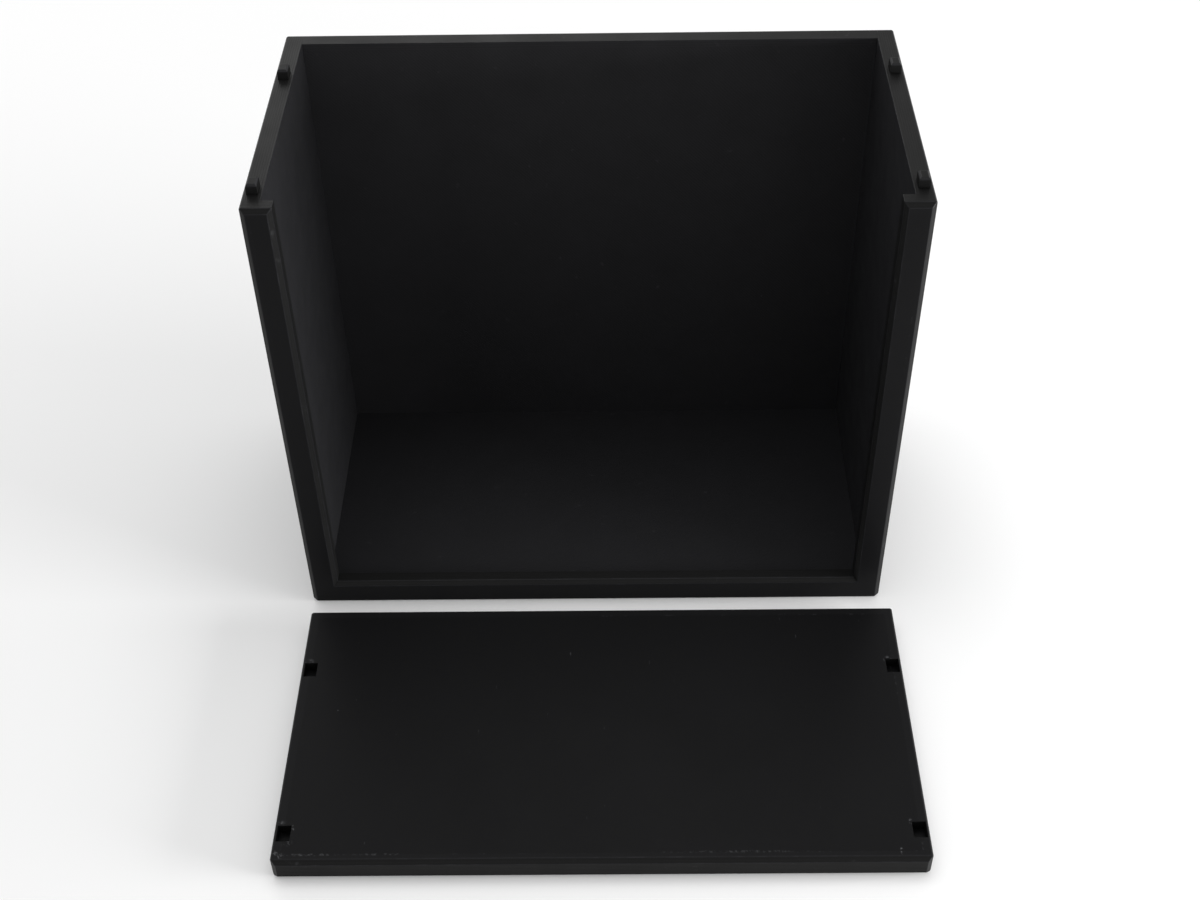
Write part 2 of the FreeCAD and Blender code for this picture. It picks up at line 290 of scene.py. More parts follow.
@dataclass(frozen=True)
class BlackPla(Finish):
    """Black PLA in general: a deep grey with a dull sheen, faintly cloudy, paler where it is rubbed."""

    tone: str = "#101010"
    bloom: str = "#191919"
    pale: str = "#6e6f72"
    ior: float = 1.46
    gloss: float = 0.08
    roughness: float = 0.44
    # Over this span of the clouds the sheen goes from duller to brighter than the roughness by these.
    cloud_span: Spot = (0.3, 0.7)
    duller: float = 0.07
    brighter: float = 0.06
    clouds: Grain = Grain(14 * MM, 5.0, 0.6)
    grain: Grain = Grain(0.45 * MM)
    relief_depth: float = 0.05 * MM
    relief_strength: float = 0.55
    relief_in_tone: float = 0.45
    rubs: Grain = Grain(5 * MM, 3.0, 0.65)
    rub_share: Ramp = Ramp(0.66, 0.8, 0.12)
    # Rows of laid plastic waver a little, and fine grain takes this share of their height.
    row_waver: float = 0.7
    row_detail: float = 1.0
    row_detail_scale: float = 0.4
    grain_in_rows: float = 0.35

    def wire(self, tree: Tree) -> None:
        """Clouds in tone and sheen, relief as bump, rubbed marks on top.

        Args:
            tree: the material's empty tree.
        """
        place = add_node(tree, "ShaderNodeTexCoord").outputs["Object"]
        clouds = add_node(tree, "ShaderNodeTexNoise", self.clouds.inputs(place)).outputs["Fac"]
        height = self.relief(tree, place)
        both = {"Factor_Float": self.relief_in_tone, "A_Float": clouds, "B_Float": height}
        share = socket_of(add_node(tree, "ShaderNodeMix", both).outputs, "Result_Float")
        colour: object = linear(self.tone)
        for factor, code in ((share, self.bloom), (self.marks(tree, place), self.pale)):
            coats = {"Factor_Float": factor, "A_Color": colour, "B_Color": linear(code)}
            mixed = add_node(tree, "ShaderNodeMix", coats, data_type="RGBA")
            colour = socket_of(mixed.outputs, "Result_Color")
        sheen = Ramp(*self.cloud_span, self.roughness - self.brighter, self.roughness + self.duller)
        rough = add_node(tree, "ShaderNodeMapRange", sheen.inputs(share))
        bumps = {"Height": height, "Strength": self.relief_strength, "Distance": self.relief_depth}
        skin = {
            "Base Color": colour,
            "Roughness": rough.outputs["Result"],
            "IOR": self.ior,
            "Specular IOR Level": self.gloss,
            "Normal": add_node(tree, "ShaderNodeBump", bumps).outputs["Normal"],
        }
        shader = add_node(tree, "ShaderNodeBsdfPrincipled", skin)
        add_node(tree, "ShaderNodeOutputMaterial", {"Surface": shader.outputs["BSDF"]})

    def relief(self, tree: Tree, place: Socket) -> Socket:
        """Fine grain, as height from 0 to 1."""
        return add_node(tree, "ShaderNodeTexNoise", self.grain.inputs(place)).outputs["Fac"]

    def marks(self, tree: Tree, place: Socket) -> Socket:
        """Sparse rubs, as a share from 0 to 1."""
        rubs = add_node(tree, "ShaderNodeTexNoise", self.rubs.inputs(place)).outputs["Fac"]
        return add_node(tree, "ShaderNodeMapRange", self.rub_share.inputs(rubs)).outputs["Result"]

    def lined(self, tree: Tree, place: Socket, pitch: float, across: Axis) -> Socket:
        """Rows of laid plastic with fine grain between.

        Args:
            tree: the material's tree.
            place: where the rows are measured.
            pitch: from row to row.
            across: the axis that the rows follow each other along.

        Returns:
            The socket that gives the height from 0 to 1.
        """
        bands = {
            "Vector": place,
            "Scale": WAVE_PERIOD / pitch,
            "Distortion": self.row_waver,
            "Detail": self.row_detail,
            "Detail Scale": self.row_detail_scale,
        }
        rows = add_node(tree, "ShaderNodeTexWave", bands, bands_direction=across.name).outputs["Fac"]
        grain = BlackPla.relief(self, tree, place)
        both = {"Factor_Float": self.grain_in_rows, "A_Float": rows, "B_Float": grain}
        return socket_of(add_node(tree, "ShaderNodeMix", both).outputs, "Result_Float")


@dataclass(frozen=True)
class LayerEdgePla(BlackPla):
    """Cut edge of a print: layers stacked in fine lines along the edge, which dull its sheen."""

    stack: Axis = Axis.Z
    # Layers of 0.2 mm are too fine for the picture, so they are drawn about 0.75 mm apart.
    layer: float = 0.75 * MM

    def relief(self, tree: Tree, place: Socket) -> Socket:
        """Stacked layers, as height from 0 to 1."""
        return self.lined(tree, place, self.layer, self.stack)


@dataclass(frozen=True)
class TopRasterPla(BlackPla):
    """Last layer of a print: matte, slanting tracks in the middle and a few that run round the outline."""

    # Paler than the other skins: partly the matte last layer, partly painted fill light that lifts the inner
    # faces of the case, which lie in shade.
    tone: str = "#1c1c1d"
    bloom: str = "#29292b"
    outline: PlateOutline | None = None
    slant: float = radians(45)
    # Tracks of 0.42 mm are too fine for the picture, so they are drawn about 0.9 mm apart.
    track: float = 0.9 * MM
    outer_tracks: int = 3

    def relief(self, tree: Tree, place: Socket) -> Socket:
        """Lay tracks round the outline and slanting ones inside them.

        Args:
            tree: the material's tree.
            place: the point.

        Returns:
            The socket that gives the height from 0 to 1.
        """
        depth = self.outline.depth(tree, place)
        turn = [0.0, 0.0, 0.0]
        turn[self.outline.thickness.value] = self.slant
        across = Axis.Y if self.outline.thickness is Axis.X else Axis.X
        slanting = add_node(tree, "ShaderNodeMapping", {"Vector": place, "Rotation": turn}).outputs[0]
        round_it = add_node(tree, "ShaderNodeCombineXYZ", {across.name: depth}).outputs[0]
        border = {"Value": depth, "Value_001": self.outer_tracks * self.track}
        outer = add_node(tree, "ShaderNodeMath", border, operation="LESS_THAN").outputs[0]
        ways = {"Factor_Float": outer, "A_Vector": slanting, "B_Vector": round_it}
        route = add_node(tree, "ShaderNodeMix", ways, data_type="VECTOR")
        return self.lined(tree, socket_of(route.outputs, "Result_Vector"), self.track, across)


@dataclass(frozen=True)
class BedSidePla(BlackPla):
    """First layer of a print, cooled on the build plate.

    It is even and half gloss, finely pebbled, with pale flecks where the outer tracks end, a few specks and
    hairline scratches.
    """

    tone: str = "#0c0c0d"
    bloom: str = "#131314"
    pale: str = "#8b8c8f"
    gloss: float = 0.07
    roughness: float = 0.36
    clouds: Grain = Grain(35 * MM, 5.0, 0.6)
    grain: Grain = Grain(0.5 * MM)
    relief_depth: float = 0.02 * MM
    relief_in_tone: float = 0.2
    outline: PlateOutline | None = None
    outer_band: float = 3.0 * MM
    band_lift: float = 0.006
    # Flecks and specks have their full strength inside a core, which is a share of their size.
    fleck_width: float = 0.3 * MM
    fleck_core: float = 0.4
    fleck_dots: Grain = Grain(1.3 * MM)
    fleck_share: Ramp = Ramp(0.56, 0.7, 0.07)
    fleck_runs: Grain = Grain(30 * MM, 1.0)
    run_share: Ramp = Ramp(0.45, 0.62)
    speck_spacing: float = 14 * MM
    speck_size: float = 0.22 * MM
    speck_core: float = 0.3
    speck_share: Ramp = Ramp(0.3, 1.0, 0.5)
    # The hairs are drawn on a grid of this spacing and length, so their own grain has the size 1.
    scratch_spacing: float = 1.1 * MM
    scratch_length: float = 5 * MM
    scratch_turn: float = radians(7)
    scratch_hairs: Grain = Grain(1.0, 2.0, 0.4)
    scratch_share: Ramp = Ramp(0.77, 0.84, 0.18)
    # A scuff fades from its middle to its reach, and crumbs break it up.
    scuff_fade: Ramp = Ramp(1.0, 0.2)
    crumbs: Grain = Grain(0.9 * MM, 3.0)
    crumb_span: Spot = (0.5, 0.66)
    wear: float = 1.0
    scuffs: tuple[Scuff, ...] = ()

    def marks(self, tree: Tree, place: Socket) -> Socket:
        """Flecks, specks, scratches and scuffs, the strongest at each point.

        Args:
            tree: the material's tree.
            place: the point.

        Returns:
            The socket that gives the share of pale from 0 to 1.
        """
        found = [self._flecks(tree, place), self._specks(tree, place), self._scratches(tree, place)]
        found += [self._scuffed(tree, place, scuff) for scuff in self.scuffs]
        strongest = found[0]
        for other in found[1:]:
            both = {"Value": strongest, "Value_001": other}
            strongest = add_node(tree, "ShaderNodeMath", both, operation="MAXIMUM").outputs[0]
        worn = {"Value": strongest, "Value_001": self.wear}
        return add_node(tree, "ShaderNodeMath", worn, operation="MULTIPLY", use_clamp=True).outputs[0]

    def _flecks(self, tree: Tree, place: Socket) -> Socket:
        """Pale dots in a row where the outer tracks end, on a band that is a trace paler.

        Args:
            tree: the material's tree.
            place: the point.

        Returns:
            The socket of their share.
        """
        depth = self.outline.depth(tree, place, with_holes=False)
        at_band = {"Value": depth, "Value_001": self.outer_band}
        off = add_node(tree, "ShaderNodeMath", at_band, operation="SUBTRACT")
        away = add_node(tree, "ShaderNodeMath", {"Value": off.outputs[0]}, operation="ABSOLUTE")
        width = Ramp(self.fleck_width, self.fleck_core * self.fleck_width)
        row = add_node(tree, "ShaderNodeMapRange", width.inputs(away.outputs[0])).outputs["Result"]
        dots = add_node(tree, "ShaderNodeTexNoise", self.fleck_dots.inputs(place)).outputs["Fac"]
        few = add_node(tree, "ShaderNodeMapRange", self.fleck_share.inputs(dots)).outputs["Result"]
        runs = add_node(tree, "ShaderNodeTexNoise", self.fleck_runs.inputs(place)).outputs["Fac"]
        here = add_node(tree, "ShaderNodeMapRange", self.run_share.inputs(runs)).outputs["Result"]
        shown = add_node(tree, "ShaderNodeMath", {"Value": few, "Value_001": here}, operation="MULTIPLY")
        dotted = {"Value": row, "Value_001": shown.outputs[0]}
        flecks = add_node(tree, "ShaderNodeMath", dotted, operation="MULTIPLY").outputs[0]
        band = add_node(tree, "ShaderNodeMath", at_band, operation="LESS_THAN").outputs[0]
        marked = {"Value": band, "Value_001": self.band_lift, "Value_002": flecks}
        return add_node(tree, "ShaderNodeMath", marked, operation="MULTIPLY_ADD").outputs[0]

    def _specks(self, tree: Tree, place: Socket) -> Socket:
        """Rubbed specks of dust, each of its own strength.

        Args:
            tree: the material's tree.
            place: the point.

        Returns:
            The socket of their share.
        """
        grid = {"Vector": place, "Scale": 1 / self.speck_spacing}
        cells = add_node(tree, "ShaderNodeTexVoronoi", grid).outputs
        size = self.speck_size / self.speck_spacing
        width = Ramp(size, self.speck_core * size)
        near = add_node(tree, "ShaderNodeMapRange", width.inputs(cells["Distance"])).outputs["Result"]
        own = add_node(tree, "ShaderNodeSeparateColor", {"Color": cells["Color"]}).outputs[0]
        some = add_node(tree, "ShaderNodeMapRange", self.speck_share.inputs(own)).outputs["Result"]
        specks = {"Value": some, "Value_001": near}
        return add_node(tree, "ShaderNodeMath", specks, operation="MULTIPLY").outputs[0]

    def _scratches(self, tree: Tree, place: Socket) -> Socket:
        """Short hairline scratches that run much the same way.

        Args:
            tree: the material's tree.
            place: the point.

        Returns:
            The socket of their share.
        """
        across, along = 1 / self.scratch_spacing, 1 / self.scratch_length
        grid = {"Vector": place, "Rotation": (0.0, 0.0, self.scratch_turn), "Scale": (across, along, along)}
        drawn = add_node(tree, "ShaderNodeMapping", grid).outputs[0]
        hairs = add_node(tree, "ShaderNodeTexNoise", self.scratch_hairs.inputs(drawn)).outputs["Fac"]
        return add_node(tree, "ShaderNodeMapRange", self.scratch_share.inputs(hairs)).outputs["Result"]

    def _scuffed(self, tree: Tree, place: Socket, scuff: Scuff) -> Socket:
        """One rubbed place, broken up by crumbs.

        Args:
            tree: the material's tree.
            place: the point.
            scuff: where the rubbed place is and how strong.

        Returns:
            The socket of its share.
        """
        parts = add_node(tree, "ShaderNodeSeparateXYZ", {"Vector": place}).outputs
        sides = {}
        for axis in (Axis.X, Axis.Y):
            at = {"Value": parts[axis.value], "Value_001": scuff.at[axis.value]}
            off = add_node(tree, "ShaderNodeMath", at, operation="SUBTRACT")
            reach = {"Value": off.outputs[0], "Value_001": scuff.reach[axis.value]}
            sides[axis.name] = add_node(tree, "ShaderNodeMath", reach, operation="DIVIDE").outputs[0]
        flat = add_node(tree, "ShaderNodeCombineXYZ", sides)
        far = add_node(tree, "ShaderNodeVectorMath", {"Vector": flat.outputs[0]}, operation="LENGTH")
        close = add_node(tree, "ShaderNodeMapRange", self.scuff_fade.inputs(far.outputs["Value"]))
        crumbs = add_node(tree, "ShaderNodeTexNoise", self.crumbs.inputs(place)).outputs["Fac"]
        strength = Ramp(*self.crumb_span, scuff.strength)
        broken = add_node(tree, "ShaderNodeMapRange", strength.inputs(crumbs))
        rubbed = {"Value": close.outputs["Result"], "Value_001": broken.outputs["Result"]}
        return add_node(tree, "ShaderNodeMath", rubbed, operation="MULTIPLY").outputs[0]


@dataclass(frozen=True)
class RubbedEdgePaintedHighlight(BlackPla):
    """PLA edges burnished by handling.

    They are a trace glossier than the faces and paler in broken stretches: partly real wear, partly a
    painted highlight that stands in for the light the edges catch.
    """

    # The paler tone, bloom and pale rubs are partly a painted highlight along the rounded edges, partly real
    # wear.
    tone: str = "#141415"
    bloom: str = "#1c1c1e"
    pale: str = "#3a3a3d"
    gloss: float = 0.1
    roughness: float = 0.4
    clouds: Grain = Grain(6 * MM, 5.0, 0.6)
    relief_strength: float = 0.15
    rubs: Grain = Grain(4 * MM, 4.0, 0.7)
    rub_share: Ramp = Ramp(0.5, 0.72, 0.22)


@dataclass(frozen=True)
class PaleFloor(Finish):
    """Plain pale table top that shows white and keeps soft shadows."""

    tone: str = "#f8f8f8"
    # The share of plain white rises between these distances from the case's middle, in metres.
    near: float = 0.2
    far: float = 0.62
    near_lift: float = 0.04
    far_lift: float = 0.97

    def wire(self, tree: Tree) -> None:
        """Matte white, mixed with plain white for what looks at it, the more so the farther from the object.

        Args:
            tree: the material's empty tree.
        """
        place = add_node(tree, "ShaderNodeTexCoord").outputs["Object"]
        away = add_node(tree, "ShaderNodeVectorMath", {"Vector": place}, operation="LENGTH").outputs["Value"]
        rise = Ramp(self.near, self.far, self.far_lift, self.near_lift)
        lift = add_node(tree, "ShaderNodeMapRange", rise.inputs(away), interpolation_type="SMOOTHSTEP")
        shown = {"Value": looked_at(tree), "Value_001": lift.outputs["Result"]}
        share = add_node(tree, "ShaderNodeMath", shown, operation="MULTIPLY").outputs[0]
        matte = add_node(tree, "ShaderNodeBsdfDiffuse", {"Color": linear(self.tone)}).outputs[0]
        white = add_node(tree, "ShaderNodeEmission", {"Strength": 1.0}).outputs[0]
        mixed = add_node(tree, "ShaderNodeMixShader", {"Fac": share, "Shader": matte, "Shader_001": white})
        add_node(tree, "ShaderNodeOutputMaterial", {"Surface": mixed.outputs[0]})


@dataclass(frozen=True)
class PlateFinishes:
    """The four skins of one printed plate, by how each face was made."""

    plate: str
    outline: PlateOutline
    wear: float = 0.3
    scuffs: tuple[Scuff, ...] = ()

    def materials(self) -> list[Material]:
        """Make the plate's materials.

        Returns:
            The materials in the order of Skin.
        """
        stack = self.outline.thickness
        finishes = (
            BedSidePla(
                f"black_pla_bed_side_{self.plate}", outline=self.outline, wear=self.wear, scuffs=self.scuffs
            ),
            TopRasterPla(f"black_pla_top_raster_{self.plate}", outline=self.outline),
            LayerEdgePla(f"black_pla_layer_edge_{stack.name.lower()}", stack=stack),
            RubbedEdgePaintedHighlight("black_pla_rubbed_edge"),
        )
        return [finish.material() for finish in finishes]


def box_of(node: str) -> Box:
    """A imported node's box as plain numbers."""
    low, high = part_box(node)
    return tuple(low), tuple(high)


class PlainMesh:
    """A mesh under work, which starts as a merged copy of another."""

    # Faces across a rounding, its profile, the width of an opened seam and that of a sliver that is closed.
    ROUND_FACES = 3
    ROUND_PROFILE = 0.5
    SEAM = 0.1 * MM
    SLIVER = 0.004 * MM

    def __init__(self, data: bpy.types.Mesh, *nodes: str) -> None:
        """Copy and merge a mesh and turn the triangles of each flat face into one face.

        Args:
            data: the mesh to copy.
            nodes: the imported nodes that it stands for, whose box it keeps to.
        """
        lows, highs = zip(*(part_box(node) for node in nodes))
        self.low, self.high = [*map(min, zip(*lows))], [*map(max, zip(*highs))]
        self.work = bmesh.new()
        self.work.from_mesh(data)
        bmesh.ops.remove_doubles(self.work, verts=self.work.verts, dist=MERGE)
        bmesh.ops.dissolve_limit(self.work, angle_limit=FLAT, verts=self.work.verts, edges=self.work.edges)

    def split(self, axis: Axis, place: float) -> None:
        """Add an edge loop where a plane meets the mesh.

        Args:
            axis: the plane's normal.
            place: where the plane stands on that axis.
        """
        origin, normal = Vector(), Vector()
        origin[axis.value], normal[axis.value] = place, 1.0
        everything = [*self.work.verts, *self.work.edges, *self.work.faces]
        bmesh.ops.bisect_plane(self.work, geom=everything, plane_co=origin, plane_no=normal, dist=ON_PLANE)

    def paint(self, rule: FaceRule) -> None:
        """Give each face its material.

        Args:
            rule: picks the material's index from the face's normal.
        """
        self.work.normal_update()
        for face in self.work.faces:
            face.material_index = rule(face.normal)

    def ease(self, width: float, seam: EdgeTest, filled: EdgeTest) -> int:
        """Round the free edges, and open the seams and the mouths of holes by a hair.

        Args:
            width: how far the rounding reaches from the edge; the narrowest faces hold it back a little.
            seam: picks edges that aren't rounded, such as joints and holes.
            filled: picks seams that are rubbed flush and don't show.

        Returns:
            How many edges were rounded.
        """
        # Roundings take the rubbed edge material, whose paler tone is partly a painted highlight.
        rounded = self._bevel(TURNED, seam, width, self.ROUND_FACES, Skin.EDGE.value)
        self._bevel(SHARP, filled, self.SEAM, segments=1, material=-1)
        self.work.normal_update()
        for edge in self.work.edges:
            edge.smooth = edge.calc_face_angle(0.0) < SHARP
        return rounded

    def _bevel(self, turn: float, kept: EdgeTest, width: float, segments: int, material: int) -> int:
        """Bevel the convex edges that turn enough, and close the slivers that are left where bevels meet.

        Args:
            turn: edges that turn by more than this are bevelled.
            kept: picks edges that stay as they are.
            width: how far the bevel reaches from the edge.
            segments: faces across the bevel.
            material: the index of its material, or -1 for that of the faces beside it.

        Returns:
            How many edges were bevelled.
        """
        self.work.normal_update()
        whole = (edge for edge in self.work.edges if len(edge.link_faces) == 2 and edge.is_convex)
        edges = [edge for edge in whole if edge.calc_face_angle(0.0) > turn and not kept(edge)]
        bmesh.ops.bevel(
            self.work,
            geom=edges,
            offset=width,
            offset_type="OFFSET",
            segments=segments,
            profile=self.ROUND_PROFILE,
            affect="EDGES",
            clamp_overlap=True,
            material=material,
        )
        bmesh.ops.remove_doubles(self.work, verts=self.work.verts, dist=self.SLIVER)
        bmesh.ops.dissolve_degenerate(self.work, dist=self.SLIVER, edges=self.work.edges)
        return len(edges)

    def piece(self, name: str, materials: Iterable[Material]) -> Piece:
        """Finish the mesh as an object of the scene.

        Args:
            name: the piece's name.
            materials: its materials in slot order.

        Returns:
            The object, at the origin.
        """
        data = bpy.data.meshes.new(name)
        for vert in self.work.verts:
            vert.co = [min(max(c, a), b) for c, a, b in zip(vert.co, self.low, self.high)]
        for face in self.work.faces:
            face.smooth = True
        normals = self._corner_normals()
        self.work.to_mesh(data)
        self.work.free()
        data.normals_split_custom_set(normals)
        for material in materials:
            data.materials.append(material)
        made = bpy.data.objects.new(name, data)
        bpy.context.scene.collection.objects.link(made)
        return made

    def _corner_normals(self) -> list[Vector]:
        """Work out a normal for each corner of each face, in the mesh's order.

        Flat faces stay flat, and roundings lead from one flat face to the next.

        Returns:
            The normals.
        """
        self.work.normal_update()
        found = []
        for face in self.work.faces:
            if face.material_index != Skin.EDGE.value:
                found += [face.normal.copy() for _ in face.loops]
                continue
            for loop in face.loops:
                near = [side for side in loop.vert.link_faces if side.normal.angle(face.normal, 0.0) < BLEND]
                flat = [side for side in near if side.material_index != Skin.EDGE.value]
                total = sum((side.normal * side.calc_area() for side in flat or near), Vector())
                found.append(total.normalized())
        return found


def grown(name: str, tree: Tree, points: list[Vector], values: Mapping[str, object]) -> Piece:
    """Run a geometry tree on points and keep the result as a plain mesh.

    Args:
        name: the object's name.
        tree: the tree to run.
        points: where it starts from.
        values: what each named input takes.

    Returns:
        The object with a plain mesh and no modifier.
    """
    data = bpy.data.meshes.new(name)
    data.from_pydata(points, [], [])
    made = bpy.data.objects.new(name, data)
    bpy.context.scene.collection.objects.link(made)
    modifier = made.modifiers.new(tree.name, "NODES")
    modifier.node_group = tree
    for item in tree.interface.items_tree:
        if item.in_out == "INPUT" and item.name in values:
            modifier[item.identifier] = values[item.name]
    shown = made.evaluated_get(bpy.context.evaluated_depsgraph_get())
    result = bpy.data.meshes.new_from_object(shown)
    made.modifiers.clear()
    made.data = result
    bpy.data.meshes.remove(data)
    result.name = name
    return made


def stand_for(piece: Piece, body: Body, slot: Slot, *nodes: str) -> None:
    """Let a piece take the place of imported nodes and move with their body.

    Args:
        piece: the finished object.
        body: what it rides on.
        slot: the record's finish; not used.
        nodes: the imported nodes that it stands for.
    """
    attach(piece, body.value)
    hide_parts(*nodes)
    log.info("%s: %d faces, rides on %s", piece.name, len(piece.data.polygons), body.value)


def middle(edge: Edge) -> Vector:
    """The middle of an edge."""
    return (edge.verts[0].co + edge.verts[1].co) / 2


def plate_rule(thickness: Axis, bed_side: int) -> FaceRule:
    """A rule that tells the faces of a plate apart by their normals.

    Args:
        thickness: the axis through the plate.
        bed_side: 1 or -1, where the side that lay on the build plate faces.

    Returns:
        The rule, which gives a material index.
    """

    def pick(normal: Vector) -> int:
        """Layered edge, bed side or raster side."""
        facing = normal[thickness.value] * bed_side
        return (Skin.LAYERS if abs(facing) < FACE_ON else Skin.BED if facing > 0 else Skin.RASTER).value

    return pick


@dataclass
class CaseShell:
    """Base, back, two side walls and the front frame, glued up from printed plates."""

    half_width: float = 102 * MM
    half_depth: float = 51.25 * MM
    rim: float = 170 * MM
    rim_chamfer: float = 0.5 * MM
    wall: float = 6 * MM
    base: float = 5 * MM
    frame_thickness: float = 5.4 * MM
    window_half: float = 92.2 * MM
    sill: float = 9.4 * MM
    eased: float = 0.2 * MM
    # The back wall's groove reaches this far into a side wall.
    groove: float = 2.5 * MM
    # Pegs' sockets and the frame's slots lie a margin inside a wall's faces, the slots behind the front.
    margin: float = 1 * MM
    socket_depth: float = 6 * MM
    slot_behind_front: float = 2.6 * MM

    @property
    def inside(self) -> float:
        """The walls' inner faces, left and right of the middle."""
        return self.half_width - self.wall

    @property
    def frame_back(self) -> float:
        """The plane where the frame meets the plates behind it."""
        return self.frame_thickness - self.half_depth

    @property
    def back_inside(self) -> float:
        """The back wall's inner face."""
        return self.half_depth - self.wall

    def build(self) -> None:
        """Make the five plates."""
        self._plate("base_panel", Axis.Z, -1, self._base_seam)
        self._plate("back_panel", Axis.Y, 1, self._back_seam)
        splits = ((Axis.Y, self.back_inside),)
        self._plate("left_side_panel", Axis.X, -1, self._side_seam, splits)
        self._plate("right_side_panel", Axis.X, 1, self._side_seam, splits)
        splits = ((Axis.X, -self.inside), (Axis.X, self.inside))
        # The window is open at the top, so it ends well above the rim.
        window = (
            (-self.window_half, -self.half_depth, self.sill),
            (self.window_half, self.frame_back, 2 * self.rim),
        )
        self._plate("front_frame", Axis.Y, -1, self._frame_seam, splits, (window,))

    def _plate(
        self,
        node: str,
        thickness: Axis,
        bed_side: int,
        seam: EdgeTest,
        splits: tuple[tuple[Axis, float], ...] = (),
        holes: tuple[Box, ...] = (),
    ) -> None:
        """Make and place one plate.

        Args:
            node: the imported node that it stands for.
            thickness: the axis through the plate.
            bed_side: where its bed side faces along that axis.
            seam: picks the edges that aren't rounded.
            splits: planes that part a free stretch of an edge from a seam.
            holes: openings through the plate.
        """
        mesh = PlainMesh(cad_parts[node].data, node)
        for axis, place in splits:
            mesh.split(axis, place)
        mesh.paint(plate_rule(thickness, bed_side))
        count = mesh.ease(self.eased, seam, self._on_rim)
        log.info("%s: %d edges eased", node, count)
        outline = PlateOutline(thickness, box_of(node), holes)
        piece = mesh.piece(f"{node}_dressed", PlateFinishes(node, outline).materials())
        stand_for(piece, Body.CASE, Slot.PRINTED, node)

    def _on_rim(self, edge: Edge) -> bool:
        """The rim, where seams are rubbed flush."""
        return middle(edge).z > self.rim - self.rim_chamfer

    def _within_wall(self, at: Vector) -> bool:
        """A place between the two faces of a side wall."""
        return self.inside + self.margin < abs(at.x) < self.half_width - self.margin

    def _base_seam(self, edge: Edge) -> bool:
        """The base's joints with the frame and the walls."""
        at = middle(edge)
        return at.z > self.base - TINY or at.y < self.frame_back + TINY

    def _back_seam(self, edge: Edge) -> bool:
        """The back wall's joints with the side walls and the base."""
        at = middle(edge)
        return abs(at.x) > self.inside - TINY or at.z < self.base + TINY

    def _side_seam(self, edge: Edge) -> bool:
        """Tell a side wall's joints and the sockets of its pegs from its free edges.

        Args:
            edge: an edge of the wall.

        Returns:
            Whether it belongs to a joint or a socket.
        """
        at = middle(edge)
        at_front_or_base = at.y < self.frame_back + TINY or at.z < self.base + TINY
        at_back = abs(at.x) < self.inside + self.groove and at.y > self.back_inside - TINY
        near_rim = at.z > self.rim - self.socket_depth
        in_socket = self._within_wall(at) and near_rim and abs(at.y) < self.back_inside
        return at_front_or_base or at_back or in_socket

    def _frame_seam(self, edge: Edge) -> bool:
        """Tell the frame's joints with the side walls and the base from its free edges.

        Args:
            edge: an edge of the frame.

        Returns:
            Whether it belongs to a joint.
        """
        at = middle(edge)
        on_plates = at.y > self.frame_back - TINY and (abs(at.x) > self.inside - TINY or at.z < self.base)
        behind_front = at.y > -self.half_depth + self.slot_behind_front
        in_slot = self._within_wall(at) and behind_front and at.z < self.rim - self.margin
        return on_plates or in_slot


